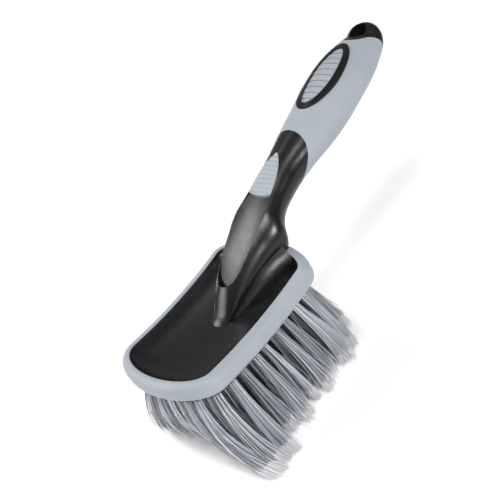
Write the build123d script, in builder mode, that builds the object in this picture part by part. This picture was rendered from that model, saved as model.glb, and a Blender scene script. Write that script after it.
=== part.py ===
"""Wheel brush: a hollow two-tone handle, a boat-shaped head and a drilled block of bristle tufts.

Frame: millimetres, +X along the handle away from the toe of the head, +Y across the head,
+Z up and away from the bristle tips.  The origin is in the middle of the head at rim height.
"""
import os
from collections import namedtuple
from math import atan, cos, radians, sin, sqrt

from build123d import *

# --- Head: the rim follows a long arc, lowest at the origin, so both ends rise ---
rim_radius = 362.0
dish_half_width = 39.4
dish_toe_x = -46.2
dish_toe_length = 17.8
dish_far_x = 39.0
dish_far_length = 12.9
dish_depth = 8.4
dish_ledge = 0.8
dish_end_angles = (12, 24, 36, 48, 60, 71, 80, 87)
dish_middle_steps = 18
head_reach = 90.0

# --- Bumper: soft rim that wraps over the shell ---
bumper_width = 7.0
bumper_height = 12.5
bumper_top_radius = 4.8
bumper_bottom_radius = 3.8
lip_thickness = 2.5

# --- Shell and tuft block, as depths below the rim arc and margins from the dish mouth ---
shell_margin = 1.8
shell_bottom = 13.0
shell_crown = 0.6
block_margin = -0.7
block_top = 11.0
block_bottom = 17.0

# --- Tufts ---
row_count = 11
row_pitch = 10.5
row_middle_x = -5.0
column_pitch = 9.6
tuft_edge_gap = 4.6
hole_radius = 2.6
hole_depth = 5.0
tuft_root_radius = 2.5
tuft_tip_radius = 5.2
tuft_length = 80.0
tuft_splay = 16.0
tuft_splay_taper = 0.1
tuft_heading = 5.7
tuft_heading_taper = 0.1
toe_corner_heading = 10.0
tip_height = -77.0
anchor_size = (0.4, 4.4, 1.4)

# --- Handle: sections across the handle, from the dish floor to the hanging end ---
Station = namedtuple("Station", "x top bottom half_width")
handle_stations = (
    Station(-12.0, -9.6, -10.8, 4.0),
    Station(-5.0, -5.8, -10.6, 7.5),
    Station(10.0, 8.8, -9.8, 12.5),
    Station(28.0, 20.6, -9.4, 17.0),
    Station(44.0, 28.0, -7.9, 21.0),
    Station(53.0, 31.8, -6.6, 23.5),
    Station(58.0, 33.7, -0.5, 21.5),
    Station(64.0, 35.8, 8.2, 18.0),
    Station(74.0, 38.9, 14.0, 15.8),
    Station(90.0, 43.4, 18.0, 15.3),
    Station(110.0, 48.8, 21.2, 18.0),
    Station(130.0, 53.9, 22.8, 21.0),
    Station(150.0, 58.6, 26.4, 23.0),
    Station(170.0, 62.2, 31.2, 22.8),
    Station(186.0, 63.0, 35.0, 20.5),
    Station(200.0, 62.2, 40.0, 16.6),
)
section_pitch = 6.0
dome_end = 214.0
dome_middle_end = 57.5
dome_angles = (24, 44, 61, 75, 84, 88.5)

# --- Root: low, wide spread of the neck over the far end of the dish ---
root_stations = (
    Station(-9.0, -10.0, -14.0, 5.0),
    Station(10.0, 2.0, -20.0, 15.0),
    Station(28.0, 12.0, -24.0, 22.0),
    Station(44.0, 16.0, -24.0, 27.5),
    Station(53.0, 17.0, -24.0, 31.5),
)
root_margin = -0.4
root_floor = 10.6
root_ceiling = 60.0

# --- Core, sleeve and cap ---
sleeve_thickness = 3.0
core_wall = 3.2
cavity_start = 102.0
cap_joint_x = 186.0
spigot_length = 12.0
spigot_radii = (8.0, 5.4)
spigot_clearance = 0.1
spigot_middle = 50.0
hang_hole_x = 201.5
hang_hole_radius = 6.8
hang_hole_rim = 1.5  # hard plastic between the hole and the soft skin

# --- Leaf-shaped thumb groove on the neck: x and half-width ---
groove_outline = (
    (9.2, 0.0),
    (10.4, 4.2),
    (13.0, 7.2),
    (18.0, 9.5),
    (33.5, 12.2),
    (43.0, 13.6),
    (52.5, 14.0),
    (60.0, 13.0),
    (68.0, 11.0),
    (81.5, 8.6),
    (91.5, 4.4),
    (96.4, 0.0),
)
groove_depth = 5.0
groove_first_x = 4.0
groove_last_x = 112.0
groove_floor_radii = (30.0, 13.0)
neck_pad_start = 67.5
neck_pad_end = 97.0
neck_pad_low = 33.6
neck_pad_high = 45.2
neck_pad_bulge = 2.6
neck_pad_half_width = 14.0
neck_rib_count = 10
neck_rib_height = 0.5

# --- Thumb pad and the hard ring round it ---
ring_x = 157.7
ring_length = 57.0
ring_width = 29.6
ring_band = 4.5
ring_proud = 0.9
pad_recess = 0.3
pad_groove_depth = 0.7
pad_groove_count = 9
pad_groove_pitch = 4.9
pad_groove_width = 0.9


def rim_height(x, depth=0.0):
    """Height at x of the arc that runs a given depth below the rim."""
    return rim_radius - sqrt((rim_radius + depth) ** 2 - x**2)


def dish_half_width_at(x, margin=0.0):
    """Half-width at x of the dish mouth, grown by a margin."""
    half = dish_half_width + margin
    if x < dish_toe_x:
        ratio = (dish_toe_x - x) / (dish_toe_length + margin)
    elif x > dish_far_x:
        ratio = (x - dish_far_x) / (dish_far_length + margin)
    else:
        ratio = 0.0
    return half * sqrt(max(0.0, 1.0 - ratio**2))


def head_layer(margin, top, bottom):
    """Curved slab of the head's plan outline between two depths below the rim arc."""
    half = dish_half_width + margin
    with BuildPart() as layer:
        with BuildSketch(Plane.XY.offset(-head_reach)):
            with BuildLine():
                EllipticalCenterArc((dish_toe_x, 0), dish_toe_length + margin, half, 90, arc_size=180)
                Line((dish_toe_x, -half), (dish_far_x, -half))
                EllipticalCenterArc((dish_far_x, 0), dish_far_length + margin, half, -90, arc_size=180)
                Line((dish_far_x, half), (dish_toe_x, half))
            make_face()
        extrude(amount=2 * head_reach)
        with BuildSketch(Plane.XZ):
            with BuildLine():
                low = rim_height(head_reach, bottom)
                high = rim_height(head_reach, top)
                ThreePointArc((-head_reach, low), (0, -bottom), (head_reach, low))
                Line((head_reach, low), (head_reach, high))
                ThreePointArc((head_reach, high), (0, -top), (-head_reach, high))
                Line((-head_reach, high), (-head_reach, low))
            make_face()
        extrude(amount=head_reach, both=True, mode=Mode.INTERSECT)
    return layer.part


def dish_cavity():
    """Bowl that is deepest along the middle and runs out at the dish mouth."""
    half = dish_half_width - dish_ledge
    toe_length = dish_toe_length - dish_ledge
    far_length = dish_far_length - dish_ledge
    sections = []
    for angle in reversed(dish_end_angles):
        sections.append((dish_toe_x - toe_length * sin(radians(angle)), cos(radians(angle))))
    span = dish_far_x - dish_toe_x
    for step in range(dish_middle_steps + 1):
        sections.append((dish_toe_x + span * step / dish_middle_steps, 1.0))
    for angle in dish_end_angles:
        sections.append((dish_far_x + far_length * sin(radians(angle)), cos(radians(angle))))
    with BuildPart() as cavity:
        for x, share in sections:
            with BuildSketch(Plane((x, 0, rim_height(x)), x_dir=(0, 1, 0), z_dir=(1, 0, 0))):
                Ellipse(half * share, dish_depth * share)
        loft()
    return cavity.part


def smooth_value(points, x):
    """Value at x of a smooth curve through the points that doesn't overshoot them."""
    spans = list(zip(points, points[1:]))
    slopes = [(far[1] - near[1]) / (far[0] - near[0]) for near, far in spans]
    tangents = [slopes[0]]
    for before, after in zip(slopes, slopes[1:]):
        product = before * after
        tangents.append(2 * product / (before + after) if product > 0 else 0.0)
    tangents.append(slopes[-1])
    for index, (near, far) in enumerate(spans):
        if x <= far[0] or index == len(spans) - 1:
            length = far[0] - near[0]
            t = (x - near[0]) / length
            rise = 3 * t**2 - 2 * t**3
            leave = (t**3 - 2 * t**2 + t) * length * tangents[index]
            arrive = (t**3 - t**2) * length * tangents[index + 1]
            return near[1] + (far[1] - near[1]) * rise + leave + arrive


def section_at(stations, x):
    """Middle height, half-width and half-height at x of the form through the stations."""
    top = smooth_value([(station.x, station.top) for station in stations], x)
    bottom = smooth_value([(station.x, station.bottom) for station in stations], x)
    half_width = smooth_value([(station.x, station.half_width) for station in stations], x)
    return (top + bottom) / 2, half_width, (top - bottom) / 2


def even_sections(stations):
    """Sections at an even pitch from the first station to the last."""
    first_x = stations[0].x
    last_x = stations[-1].x
    count = round((last_x - first_x) / section_pitch)
    places = [first_x + (last_x - first_x) * step / count for step in range(count + 1)]
    return [(x, *section_at(stations, x)) for x in places]


def dome_sections():
    """Sections that close the hanging end with a dome."""
    dome_start = handle_stations[-1].x
    middle, half_width, half_height = section_at(handle_stations, dome_start)
    sections = []
    for angle in dome_angles:
        share = cos(radians(angle))
        along = sin(radians(angle))
        x = dome_start + (dome_end - dome_start) * along
        height = middle + (dome_middle_end - middle) * along
        sections.append((x, height, half_width * share, half_height * share))
    return sections


def oval_form(sections, growth=0.0):
    """Smooth body through upright oval sections, grown or shrunk all round."""
    with BuildPart() as form:
        for x, middle, half_width, half_height in sections:
            with BuildSketch(Plane((x, 0, middle), x_dir=(0, 1, 0), z_dir=(1, 0, 0))):
                Ellipse(half_width + growth, half_height + growth)
        loft()
    return form.part


def handle_form(growth=0.0, first_x=-50.0, last_x=300.0):
    """Handle body between two places, grown or shrunk all round."""
    sections = []
    for section in even_sections(handle_stations) + dome_sections():
        if first_x <= section[0] <= last_x and section[-1] + growth > 0.25:
            sections.append(section)
    return oval_form(sections, growth)


def neck_root():
    """Wide root of the neck, cut off at the dish's outline and inside the shell's floor."""
    with BuildPart() as root:
        add(oval_form(even_sections(root_stations)))
        add(head_layer(root_margin, -root_ceiling, root_floor), mode=Mode.INTERSECT)
    return root.part


def groove_post():
    """Upright post of the groove's leaf outline."""
    with BuildPart() as post:
        with BuildSketch():
            with BuildLine():
                Spline(*groove_outline)
                Spline(*[(x, -half_width) for x, half_width in groove_outline])
            make_face()
        extrude(amount=80)
    return post.part


def groove_trough():
    """Wide round-bottomed trough that follows the top of the neck at an even depth."""
    half_width, half_height = groove_floor_radii
    sections = []
    for x, middle, _, neck_half_height in even_sections(handle_stations):
        if groove_first_x <= x <= groove_last_x:
            floor_height = middle + neck_half_height - groove_depth
            sections.append((x, floor_height + half_height, half_width, half_height))
    return oval_form(sections)


def sleeve_reach():
    """Slab that bounds the sleeve: a slanted end at the neck and side tongues at the cap."""
    with BuildPart() as reach:
        with BuildSketch(Plane.XZ):
            with BuildLine():
                Spline((115, 58), (113, 49.5), (109.5, 43.4), (104, 36), (94, 25), (86, 15))
                Line((86, 15), (183, 15))
                Spline((183, 15), (186, 34), (195, 43), (202, 51), (200, 58), (192, 62.3), (187.5, 70))
                Line((187.5, 70), (115, 58))
            make_face()
        extrude(amount=40, both=True)
        with Locations((hang_hole_x, 0, spigot_middle)):
            Cylinder(hang_hole_radius + hang_hole_rim, 60, mode=Mode.SUBTRACT)
    return reach.part


def oval_post(length, width):
    """Upright oval post through the top half of the grip."""
    with BuildPart() as post:
        with BuildSketch(Plane.XY.offset(43)):
            with Locations((ring_x, 0)):
                Ellipse(length / 2, width / 2)
        extrude(amount=40)
    return post.part


def row_holes(row):
    """Planes on the block's lower face for one row of tufts, each pointing along its tuft."""
    arc_radius = rim_radius + block_bottom
    x = row_middle_x + (row - (row_count - 1) / 2) * row_pitch
    lean = atan(x / arc_radius)
    limit = dish_half_width_at(x, block_margin) - tuft_edge_gap
    start = 0.0 if row % 2 else column_pitch / 2
    columns = [start + column_pitch * step for step in range(8)]
    offsets = sorted({side * y for y in columns if y <= limit for side in (-1, 1)})
    planes = []
    for y in offsets:
        origin = (arc_radius * sin(lean), y, rim_radius - arc_radius * cos(lean))
        outward = y / dish_half_width
        toe_share = max(0.0, x / dish_toe_x)
        turn_back = toe_corner_heading * toe_share * outward**2
        sweep = radians(tuft_heading + tuft_heading_taper * x - turn_back)
        splay = radians(tuft_splay - tuft_splay_taper * x) * outward
        direction = (sin(sweep) * cos(splay), sin(splay), -cos(sweep) * cos(splay))
        planes.append(Plane(origin, x_dir=(1, 0, 0.01), z_dir=direction))
    return planes


def pad_grooves():
    """Cross grooves of the thumb pad, cut down to one even depth below its surface."""
    with BuildPart() as grooves:
        with BuildSketch(Plane.XY.offset(43)):
            with Locations((ring_x, 0)):
                with GridLocations(pad_groove_pitch, 1, pad_groove_count, 1):
                    Rectangle(pad_groove_width, ring_width)
        extrude(amount=40)
        add(pad_floor_body, mode=Mode.SUBTRACT)
    return grooves.part


def neck_pad_bounds():
    """Body under the neck pad's ribbed top, with a bowed lower end."""
    pitch = (neck_pad_end - neck_pad_start) / neck_rib_count
    rise = (neck_pad_high - neck_pad_low) / neck_rib_count
    crests = [(neck_pad_start, neck_pad_low)]
    for rib in range(neck_rib_count):
        x = neck_pad_start + pitch * rib
        height = neck_pad_low + rise * rib
        crests.append((x + pitch * 0.35, height + rise * 0.35 + neck_rib_height))
        crests.append((x + pitch, height + rise))
    with BuildPart() as bounds:
        with BuildSketch(Plane.XZ):
            with BuildLine():
                Polyline(*crests, (neck_pad_end, 20), (neck_pad_start, 20), close=True)
            make_face()
        extrude(amount=20, both=True)
        with BuildSketch(Plane.XY.offset(20)):
            with BuildLine():
                bowed_x = neck_pad_start + neck_pad_bulge
                half = neck_pad_half_width
                ThreePointArc((bowed_x, -half), (neck_pad_start, 0), (bowed_x, half))
                Line((bowed_x, half), (neck_pad_end, half))
                Line((neck_pad_end, half), (neck_pad_end, -half))
                Line((neck_pad_end, -half), (bowed_x, -half))
            make_face()
        extrude(amount=40, mode=Mode.INTERSECT)
    return bounds.part


handle_body = handle_form()
tang_body = handle_form(-sleeve_thickness, first_x=74.0)
tang_cavity = handle_form(-sleeve_thickness - core_wall, cavity_start, 188.0)
ring_body = handle_form(ring_proud, 74.0)
pad_body = handle_form(-pad_recess, 74.0)
pad_floor_body = handle_form(-pad_recess - pad_groove_depth, 74.0)
groove_trough_body = groove_trough()
leaf_post = groove_post()
root_body = neck_root()
bounds_of_sleeve = sleeve_reach()
bounds_of_neck_pad = neck_pad_bounds()
groove_cutters = pad_grooves()
dish_bowl = dish_cavity()
shell_skirt = head_layer(shell_margin, lip_thickness, shell_bottom)
shell_rise = head_layer(0, shell_crown, shell_bottom)
block_pocket = head_layer(block_margin, block_top, block_bottom + 5)
block_plate = head_layer(block_margin, block_top, block_bottom)
bumper_outside = head_layer(bumper_width, 0, bumper_height)
bumper_inside = head_layer(shell_margin, lip_thickness, bumper_height + 5)
bumper_mouth = head_layer(0, -5, bumper_height)
ring_post = oval_post(ring_length, ring_width)
pad_post = oval_post(ring_length - 2 * ring_band, ring_width - 2 * ring_band)

# --- Grip sleeve: soft skin moulded over the tang, with an oval window for the ring ---
with BuildPart() as grip_sleeve:
    add(handle_body)
    add(bounds_of_sleeve, mode=Mode.INTERSECT)
    add(tang_body, mode=Mode.SUBTRACT)
    add(ring_post, mode=Mode.SUBTRACT)

# --- Thumb ring: hard oval frame that stands slightly proud of the sleeve ---
with BuildPart() as thumb_ring:
    add(ring_body)
    add(ring_post, mode=Mode.INTERSECT)
    add(pad_post, mode=Mode.SUBTRACT)
    add(tang_body, mode=Mode.SUBTRACT)

# --- Thumb pad: soft ribbed oval inside the ring ---
with BuildPart() as thumb_pad:
    add(pad_body)
    add(pad_post, mode=Mode.INTERSECT)
    add(tang_body, mode=Mode.SUBTRACT)
    add(groove_cutters, mode=Mode.SUBTRACT)

# --- Groove: a round-bottomed trough inside the leaf outline ---
with BuildPart() as neck_groove:
    add(leaf_post)
    add(groove_trough_body, mode=Mode.INTERSECT)

# --- Neck pad: soft ribbed inlay in the upper end of the groove ---
with BuildPart() as neck_pad:
    add(neck_groove.part)
    add(bounds_of_neck_pad, mode=Mode.INTERSECT)

# --- Hard body: the handle without its soft skin, still joined to its hanging end ---
with BuildPart() as hard_body:
    add(handle_body)
    add(bounds_of_sleeve, mode=Mode.SUBTRACT)
    add(tang_body)

# --- Handle core: neck, hollow tang and dished head shell in one hard moulding ---
with BuildPart() as handle_core:
    add(shell_skirt)
    add(shell_rise)
    add(dish_bowl, mode=Mode.SUBTRACT)
    add(block_pocket, mode=Mode.SUBTRACT)
    add(root_body)
    add(hard_body.part)
    add(neck_groove.part, mode=Mode.SUBTRACT)
    split(bisect_by=Plane.YZ.offset(cap_joint_x), keep=Keep.BOTTOM)
    add(tang_cavity, mode=Mode.SUBTRACT)
    with BuildSketch(Plane.YZ.offset(cap_joint_x)):
        with Locations((0, spigot_middle)):
            Ellipse(spigot_radii[0] + spigot_clearance, spigot_radii[1] + spigot_clearance)
    extrude(amount=-spigot_length - 2, mode=Mode.SUBTRACT)

# --- End cap: hard hanging end with a spigot that plugs the hollow tang ---
with BuildPart() as end_cap:
    add(hard_body.part)
    split(bisect_by=Plane.YZ.offset(cap_joint_x), keep=Keep.TOP)
    with BuildSketch(Plane.YZ.offset(cap_joint_x)):
        with Locations((0, spigot_middle)):
            Ellipse(*spigot_radii)
    extrude(amount=-spigot_length)
    with Locations((hang_hole_x, 0, spigot_middle)):
        Cylinder(hang_hole_radius, 60, mode=Mode.SUBTRACT)

# --- Head bumper: soft rim over the shell's edge, notched where the neck leaves the head ---
with BuildPart() as head_bumper:
    add(bumper_outside)
    fillet(faces().sort_by(Axis.Z)[-1].edges(), bumper_top_radius)
    fillet(faces().sort_by(Axis.Z)[0].edges(), bumper_bottom_radius)
    add(bumper_inside, mode=Mode.SUBTRACT)
    add(bumper_mouth, mode=Mode.SUBTRACT)
    add(handle_body, mode=Mode.SUBTRACT)

# --- Tuft block: drilled plate that closes the underside of the shell ---
with BuildPart() as tuft_block:
    add(block_plate)
    for row in range(row_count):
        with Locations(*row_holes(row)):
            Cylinder(hole_radius, 2 * hole_depth, mode=Mode.SUBTRACT)

# --- Anchors: a flat metal blade across the bottom of every hole ---
with BuildPart() as tuft_anchors:
    for row in range(row_count):
        with Locations(*row_holes(row)):
            with Locations((0, 0, -hole_depth)):
                Box(*anchor_size, align=(Align.CENTER, Align.CENTER, Align.MIN))

# --- Tuft rows: plain flared tufts, trimmed to one flat face ---
tuft_rows = []
for row in range(row_count):
    root_length = hole_depth - anchor_size[2]
    with BuildPart() as tuft_row:
        with Locations(*row_holes(row)):
            Cylinder(tuft_root_radius, root_length, align=(Align.CENTER, Align.CENTER, Align.MAX))
            Cone(tuft_root_radius, tuft_tip_radius, tuft_length,
                 align=(Align.CENTER, Align.CENTER, Align.MIN))
        split(bisect_by=Plane.XY.offset(tip_height), keep=Keep.TOP)
    tuft_row.part.label = f"tuft_row_{row + 1:02d}"
    tuft_rows.append(tuft_row.part)

handle_core.part.label = "handle_core"
end_cap.part.label = "end_cap"
grip_sleeve.part.label = "grip_sleeve"
thumb_ring.part.label = "thumb_ring"
thumb_pad.part.label = "thumb_pad"
neck_pad.part.label = "neck_pad"
head_bumper.part.label = "head_bumper"
tuft_block.part.label = "tuft_block"
tuft_anchors.part.label = "tuft_anchors"

os.makedirs("parts", exist_ok=True)
export_step(handle_core.part, "parts/handle_core.step")
export_step(end_cap.part, "parts/end_cap.step")
export_step(grip_sleeve.part, "parts/grip_sleeve.step")
export_step(thumb_ring.part, "parts/thumb_ring.step")
export_step(thumb_pad.part, "parts/thumb_pad.step")
export_step(neck_pad.part, "parts/neck_pad.step")
export_step(head_bumper.part, "parts/head_bumper.step")
export_step(tuft_block.part, "parts/tuft_block.step")
export_step(tuft_anchors.part, "parts/tuft_anchors.step")
for tuft_row_part in tuft_rows:
    export_step(tuft_row_part, f"parts/{tuft_row_part.label}.step")
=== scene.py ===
"""Wheel brush: materials, filament tufts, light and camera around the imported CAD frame."""
from math import cos, pi, radians, sin

import bpy
import numpy as np
from mathutils import Matrix, Vector


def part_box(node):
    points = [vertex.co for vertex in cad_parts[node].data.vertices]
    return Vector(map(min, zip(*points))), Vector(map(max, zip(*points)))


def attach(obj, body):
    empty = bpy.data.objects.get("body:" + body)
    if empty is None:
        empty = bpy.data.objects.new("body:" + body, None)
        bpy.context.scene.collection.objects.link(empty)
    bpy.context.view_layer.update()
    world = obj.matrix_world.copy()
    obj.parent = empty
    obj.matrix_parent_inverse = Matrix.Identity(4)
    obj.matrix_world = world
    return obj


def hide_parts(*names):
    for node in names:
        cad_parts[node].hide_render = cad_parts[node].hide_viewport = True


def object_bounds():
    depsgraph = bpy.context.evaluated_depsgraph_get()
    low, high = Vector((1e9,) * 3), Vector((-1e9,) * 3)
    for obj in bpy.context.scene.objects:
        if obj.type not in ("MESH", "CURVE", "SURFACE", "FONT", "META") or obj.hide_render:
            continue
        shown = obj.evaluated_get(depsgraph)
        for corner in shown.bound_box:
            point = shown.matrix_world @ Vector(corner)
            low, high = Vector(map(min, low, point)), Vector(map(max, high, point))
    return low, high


MM = 0.001

# --- Camera, in metres and degrees ---
CAMERA_AZIMUTH = -27.8
CAMERA_ELEVATION = 31.9
CAMERA_ROLL = -33.5
CAMERA_DISTANCE = 0.6306
CAMERA_TARGET = Vector((0.0364, -0.0078, 0.0162))
CAMERA_LENS = 72.0

# --- Colours, linear ---
SOFT_GREY = (0.30, 0.328, 0.362, 1)
HARD_BLACK = (0.004, 0.004, 0.005, 1)
FILAMENT_TONES = {
    "filament_dark": (0.21, 0.22, 0.26, 1),
    "filament_mid": (0.46, 0.48, 0.535, 1),
    "filament_light": (0.72, 0.73, 0.78, 1),
    "filament_pale": (0.90, 0.91, 0.93, 1),
}

# --- Tufts, in millimetres ---
CLUMPS_PER_TUFT = 20
STRANDS_PER_CLUMP = 6
CLUMP_SPREAD = 0.08
OWN_TONE_SHARE = 0.75
STRAND_RINGS = 8
STRAND_SIDES = 3
STRAND_RADIUS = 0.25
ROOT_SPREAD = 2.3
TIP_SPREAD = 6.3
TIP_SCATTER = 1.1
STRAY_SHARE = 0.04
STRAY_SCATTER = 3.5
LENGTH_VARIATION = 0.045
FLARE_POWER = 1.25
WAVES = 2.0
WAVE_HEIGHT = 0.25
TOE_BOW = 8.0
SIDE_BOW = 3.0
TOE_PULL = 11.0
CORNER_PUSH = 42.0
SIDE_TUCK = 5.5
PALE_SLOT = 3
PALE_STEPS = 1
TONE_SHARES = (0.27, 0.33, 0.4)
TUFT_SEED = 11
TAPER_START = 0.8
TAPER_RATE = 2.5
ROOT_BAND = 1.5
ROOT_GAP = 2.0
TIP_BAND = 0.1
TIP_GAP = 1.8

# --- Studio, in metres and watts: name, place, size, power, target and beam angle in degrees ---
FLOOR_HALF = 3.0
WORLD_STRENGTH = 0.26
BRUSH = (0.05, 0, 0)
SOFTBOXES = (
    ("top_softbox", (-0.2, -0.42, 1.45), 0.5, 11.5, BRUSH, 180),
    ("back_softbox", (-0.15, 0.9, 0.75), 0.5, 5.5, BRUSH, 180),
    ("toe_softbox", (-0.8, 0.9, 0.58), 0.5, 5, BRUSH, 180),
    ("side_softbox", (-0.1, -1.1, 0.65), 0.25, 9, BRUSH, 180),
    ("backdrop_softbox", (0.55, 1.25, 1.2), 1.0, 14, (0.55, 1.25, 0), 80),
    ("front_softbox", (-0.7, -1.0, 0.12), 0.6, 1.2, BRUSH, 180),
)

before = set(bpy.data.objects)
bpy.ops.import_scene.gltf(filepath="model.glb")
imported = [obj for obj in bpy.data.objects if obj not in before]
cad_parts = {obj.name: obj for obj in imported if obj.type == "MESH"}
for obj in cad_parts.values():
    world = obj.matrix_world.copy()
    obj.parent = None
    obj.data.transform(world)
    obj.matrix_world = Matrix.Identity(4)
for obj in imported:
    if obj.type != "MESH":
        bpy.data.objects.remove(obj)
cad_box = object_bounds()


def node_material(name, colour, roughness):
    """New material with a Principled shader; returns the material, its nodes and the shader."""
    material = bpy.data.materials.new(name)
    material.use_nodes = True
    shader = material.node_tree.nodes["Principled BSDF"]
    shader.inputs["Base Color"].default_value = colour
    shader.inputs["Roughness"].default_value = roughness
    return material, material.node_tree, shader


def place_on_object(tree):
    """Texture coordinate node that gives the object's own space, in metres."""
    return tree.nodes.new("ShaderNodeTexCoord").outputs["Object"]


def add_noise(tree, coordinates, scale, detail=4.0):
    """Noise texture on the object's space."""
    noise = tree.nodes.new("ShaderNodeTexNoise")
    noise.inputs["Scale"].default_value = scale
    noise.inputs["Detail"].default_value = detail
    tree.links.new(coordinates, noise.inputs["Vector"])
    return noise.outputs["Fac"]


def remap(tree, value, low, high):
    """Spread a noise value over a range."""
    node = tree.nodes.new("ShaderNodeMapRange")
    node.inputs["From Min"].default_value = 0.3
    node.inputs["From Max"].default_value = 0.7
    node.inputs["To Min"].default_value = low
    node.inputs["To Max"].default_value = high
    tree.links.new(value, node.inputs["Value"])
    return node.outputs["Result"]


def blend_colours(tree, value, first, second):
    """Colour between two tones, by a noise value."""
    ramp = tree.nodes.new("ShaderNodeValToRGB")
    ramp.color_ramp.elements[0].position = 0.3
    ramp.color_ramp.elements[0].color = first
    ramp.color_ramp.elements[1].position = 0.7
    ramp.color_ramp.elements[1].color = second
    tree.links.new(value, ramp.inputs["Fac"])
    return ramp.outputs["Color"]


def add_bump(tree, shader, height, distance, strength):
    """Surface relief from a height value, in metres."""
    bump = tree.nodes.new("ShaderNodeBump")
    bump.inputs["Distance"].default_value = distance
    bump.inputs["Strength"].default_value = strength
    tree.links.new(height, bump.inputs["Height"])
    tree.links.new(bump.outputs["Normal"], shader.inputs["Normal"])


def shaded(colour, factor):
    """Colour made lighter or darker by a factor."""
    return tuple(channel * factor for channel in colour[:3]) + (1,)


def soft_grey_material():
    """Matt soft-touch elastomer with a fine spark-eroded grain."""
    material, tree, shader = node_material("soft_grey", SOFT_GREY, 0.5)
    where = place_on_object(tree)
    patches = add_noise(tree, where, 60)
    tone = blend_colours(tree, patches, shaded(SOFT_GREY, 0.96), shaded(SOFT_GREY, 1.03))
    tree.links.new(tone, shader.inputs["Base Color"])
    tree.links.new(remap(tree, add_noise(tree, where, 240), 0.46, 0.56), shader.inputs["Roughness"])
    add_bump(tree, shader, add_noise(tree, where, 2600, 2.0), 0.00008, 0.35)
    shader.inputs["Sheen Weight"].default_value = 0.12
    shader.inputs["Sheen Roughness"].default_value = 0.5
    shader.inputs["Specular IOR Level"].default_value = 0.4
    return material


def hard_black_material():
    """Satin black polypropylene with faint flow marks and a fine moulded grain."""
    material, tree, shader = node_material("hard_black", HARD_BLACK, 0.3)
    where = place_on_object(tree)
    patches = add_noise(tree, where, 45)
    tone = blend_colours(tree, patches, shaded(HARD_BLACK, 0.85), shaded(HARD_BLACK, 1.25))
    tree.links.new(tone, shader.inputs["Base Color"])
    tree.links.new(remap(tree, add_noise(tree, where, 180), 0.25, 0.31), shader.inputs["Roughness"])
    add_bump(tree, shader, add_noise(tree, where, 3200, 2.0), 0.00003, 0.12)
    shader.inputs["Specular IOR Level"].default_value = 0.42
    return material


def metal_material():
    """Flat drawn strip of the tuft anchors."""
    material, tree, shader = node_material("anchor_metal", (0.55, 0.55, 0.56, 1), 0.3)
    shader.inputs["Metallic"].default_value = 1.0
    return material


def filament_materials():
    """One plain nylon-like material for each filament tone."""
    materials = []
    for name, colour in FILAMENT_TONES.items():
        material, tree, shader = node_material(name, colour, 0.42)
        materials.append(material)
    return materials


def split_by_y(points, gap):
    """Groups of points with empty bands between them across the head."""
    ordered = points[np.argsort(points[:, 1])]
    cuts = np.where(np.diff(ordered[:, 1]) > gap)[0] + 1
    return np.split(ordered, cuts)


def tuft_axes(node):
    """Root and tip centre of every tuft solid in a CAD row, in metres."""
    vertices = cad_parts[node].data.vertices
    flat = np.empty(len(vertices) * 3)
    vertices.foreach_get("co", flat)
    points = flat.reshape(-1, 3)
    heights = points[:, 2]
    roots = split_by_y(points[heights > heights.max() - ROOT_BAND * MM], ROOT_GAP * MM)
    tips = split_by_y(points[heights < heights.min() + TIP_BAND * MM], TIP_GAP * MM)
    return [(root.mean(axis=0), tip.mean(axis=0)) for root, tip in zip(roots, tips)]


def spots_in_disc(count, random):
    """Points spread evenly over a disc of radius one."""
    turn = random.uniform(0, 2 * pi, count)
    reach = np.sqrt(random.uniform(0, 1, count))
    return np.stack([reach * np.cos(turn), reach * np.sin(turn)], axis=1)


def strand_tones(random):
    """Tone of every strand of one tuft: most strands share the tone of their clump."""
    shared = np.repeat(random.choice(3, CLUMPS_PER_TUFT, p=TONE_SHARES), STRANDS_PER_CLUMP)
    own = random.choice(3, len(shared), p=TONE_SHARES)
    return np.where(random.uniform(0, 1, len(shared)) < OWN_TONE_SHARE, own, shared)


def strand_centres(root, tip, random):
    """Centre lines of one tuft's strands, in clumps, from a tight root to a flared tip."""
    axis = tip - root
    length = np.linalg.norm(axis)
    axis = axis / length
    across = np.cross(axis, (0.0, 1.0, 0.0))
    across = across / np.linalg.norm(across)
    along = np.cross(axis, across)
    clumps = np.repeat(spots_in_disc(CLUMPS_PER_TUFT, random), STRANDS_PER_CLUMP, axis=0)
    count = len(clumps)
    spots = clumps + random.normal(0, CLUMP_SPREAD, (count, 2))
    outward = spots @ np.stack([across, along])
    start = root + outward * ROOT_SPREAD * MM
    is_stray = random.uniform(0, 1, count) < STRAY_SHARE
    scatter = np.where(is_stray, STRAY_SCATTER, TIP_SCATTER) * MM
    stray = random.normal(0, 1, (count, 3)) * scatter[:, None]
    flare = outward * (TIP_SPREAD - ROOT_SPREAD) * MM + stray
    trim = random.uniform(1 - LENGTH_VARIATION, 1, count)
    share = np.linspace(0, 1, STRAND_RINGS)[None, :, None]
    run = (axis * length)[None, None, :] * (share * trim[:, None, None])
    spread = flare[:, None, :] * share ** FLARE_POWER
    wave_phase = random.uniform(0, 2 * pi, count)[:, None, None]
    wave = np.sin(share * WAVES * 2 * pi + wave_phase) * share * WAVE_HEIGHT * MM
    sideways = outward[:, None, :] * wave
    block_low, block_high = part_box("tuft_block")
    toe_share = min(1.0, max(0.0, root[0] / block_low[0]))
    side_share = root[1] / block_high[1]
    bow = np.array([-TOE_BOW * toe_share**2, SIDE_BOW * side_share, 0.0]) * MM
    bend = bow[None, None, :] * 4 * share * (1 - share)
    pull = TOE_PULL * toe_share**2 * (1 - side_share**2)
    push = CORNER_PUSH * toe_share**4 - SIDE_TUCK * (1 - (root[0] / block_low[0]) ** 2)
    lean = np.array([pull, push * side_share, 0.0]) * MM
    bend = bend + lean[None, None, :] * share**2
    return start[:, None, :] + run + spread + sideways + bend


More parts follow.
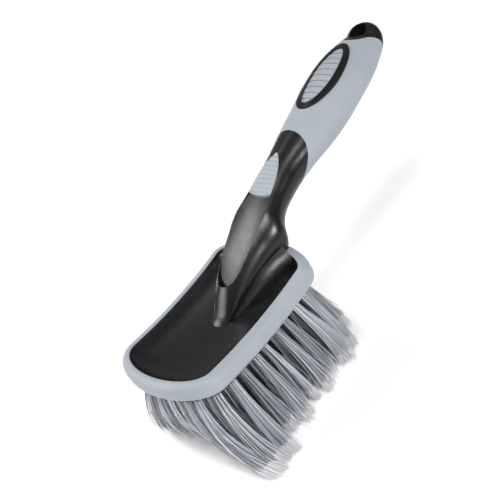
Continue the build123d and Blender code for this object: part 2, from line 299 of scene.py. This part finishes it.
def strand_mesh(name, centres, tones, materials):
    """Three-sided tapered tube round every centre line, with a paler last stretch."""
    count, rings, _ = centres.shape
    heading = centres[:, -1] - centres[:, 0]
    side = np.cross(heading, (1.0, 0.0, 0.0))
    side /= np.linalg.norm(side, axis=1)[:, None]
    other = np.cross(heading, side)
    other /= np.linalg.norm(other, axis=1)[:, None]
    angles = np.arange(STRAND_SIDES) * 2 * pi / STRAND_SIDES
    ring = side[:, None] * np.cos(angles)[None, :, None] + other[:, None] * np.sin(angles)[None, :, None]
    share = np.linspace(0, 1, rings)
    taper = 1.0 - (share - TAPER_START) * TAPER_RATE
    radii = STRAND_RADIUS * MM * np.where(share < TAPER_START, 1.0, taper)
    vertices = centres[:, :, None, :] + ring[:, None] * radii[None, :, None, None]
    faces = []
    slots = []
    last = rings - 1
    for strand in range(count):
        first = strand * rings * STRAND_SIDES
        faces.append(tuple(first + corner for corner in reversed(range(STRAND_SIDES))))
        slots.append(tones[strand])
        for step in range(last):
            low = first + step * STRAND_SIDES
            high = low + STRAND_SIDES
            for corner in range(STRAND_SIDES):
                after = (corner + 1) % STRAND_SIDES
                faces.append((low + corner, low + after, high + after, high + corner))
                slots.append(PALE_SLOT if step >= last - PALE_STEPS else tones[strand])
        end = first + last * STRAND_SIDES
        faces.append(tuple(end + corner for corner in range(STRAND_SIDES)))
        slots.append(PALE_SLOT)
    mesh = bpy.data.meshes.new(name)
    mesh.from_pydata(vertices.reshape(-1, 3).tolist(), [], faces)
    for material in materials:
        mesh.materials.append(material)
    mesh.polygons.foreach_set("material_index", slots)
    mesh.polygons.foreach_set("use_smooth", [True] * len(faces))
    return mesh


def add_bristle_rows(materials):
    """Filament tufts in place of every plain CAD row."""
    random = np.random.default_rng(TUFT_SEED)
    rows = sorted(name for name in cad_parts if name.startswith("tuft_row"))
    for row in rows:
        bundles = []
        tones = []
        for root, tip in tuft_axes(row):
            bundles.append(strand_centres(root, tip, random))
            tones.extend(strand_tones(random).tolist())
        centres = np.concatenate(bundles)
        floor_height = cad_box[0][2] + STRAND_RADIUS * MM
        centres[:, :, 2] = np.maximum(centres[:, :, 2], floor_height)
        mesh = strand_mesh(row + "_filaments", centres, tones, materials)
        piece = bpy.data.objects.new(row + "_filaments", mesh)
        bpy.context.collection.objects.link(piece)
        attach(piece, "root")
        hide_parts(row)


def add_camera():
    """Camera rolled about its view axis."""
    azimuth, elevation, roll = (radians(a) for a in (CAMERA_AZIMUTH, CAMERA_ELEVATION, CAMERA_ROLL))
    back = Vector((sin(azimuth) * cos(elevation), -cos(azimuth) * cos(elevation), sin(elevation)))
    level = Vector((cos(azimuth), sin(azimuth), 0))
    upright = back.cross(level)
    right = level * cos(roll) + upright * sin(roll)
    up = upright * cos(roll) - level * sin(roll)
    camera = bpy.data.objects.new("camera", bpy.data.cameras.new("camera"))
    camera.data.lens = CAMERA_LENS
    camera.data.clip_end = 20
    turn = Matrix((right, up, back)).transposed().to_4x4()
    camera.matrix_world = Matrix.Translation(CAMERA_TARGET + back * CAMERA_DISTANCE) @ turn
    bpy.context.collection.objects.link(camera)
    bpy.context.scene.camera = camera


def add_light(name, place, size, power, target, spread):
    """Square softbox aimed at a target."""
    light = bpy.data.lights.new(name, "AREA")
    light.size = size
    light.energy = power
    light.spread = radians(spread)
    lamp = bpy.data.objects.new(name, light)
    lamp.location = place
    lamp.rotation_euler = (Vector(target) - Vector(place)).to_track_quat("-Z", "Y").to_euler()
    bpy.context.collection.objects.link(lamp)


def add_studio():
    """Pale floor, white surroundings and softboxes."""
    half = FLOOR_HALF
    floor_height = cad_box[0][2]
    corners = [(-half, -half, floor_height), (half, -half, floor_height)]
    corners += [(half, half, floor_height), (-half, half, floor_height)]
    mesh = bpy.data.meshes.new("floor")
    mesh.from_pydata(corners, [], [(0, 1, 2, 3)])
    floor = bpy.data.objects.new("floor", mesh)
    material, tree, shader = node_material("floor", (0.97, 0.97, 0.97, 1), 0.9)
    mesh.materials.append(material)
    bpy.context.collection.objects.link(floor)
    world = bpy.data.worlds.new("studio")
    world.use_nodes = True
    world.node_tree.nodes["Background"].inputs["Color"].default_value = (1, 1, 1, 1)
    world.node_tree.nodes["Background"].inputs["Strength"].default_value = WORLD_STRENGTH
    bpy.context.scene.world = world
    bpy.context.scene.view_settings.view_transform = "Standard"
    for softbox in SOFTBOXES:
        add_light(*softbox)


soft_grey = soft_grey_material()
hard_black = hard_black_material()
metal = metal_material()
for name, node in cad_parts.items():
    node.data.materials.clear()
    if name in ("grip_sleeve", "thumb_pad", "neck_pad", "head_bumper"):
        node.data.materials.append(soft_grey)
    elif name == "tuft_anchors":
        node.data.materials.append(metal)
    else:
        node.data.materials.append(hard_black)
add_bristle_rows(filament_materials())
add_camera()
add_studio()
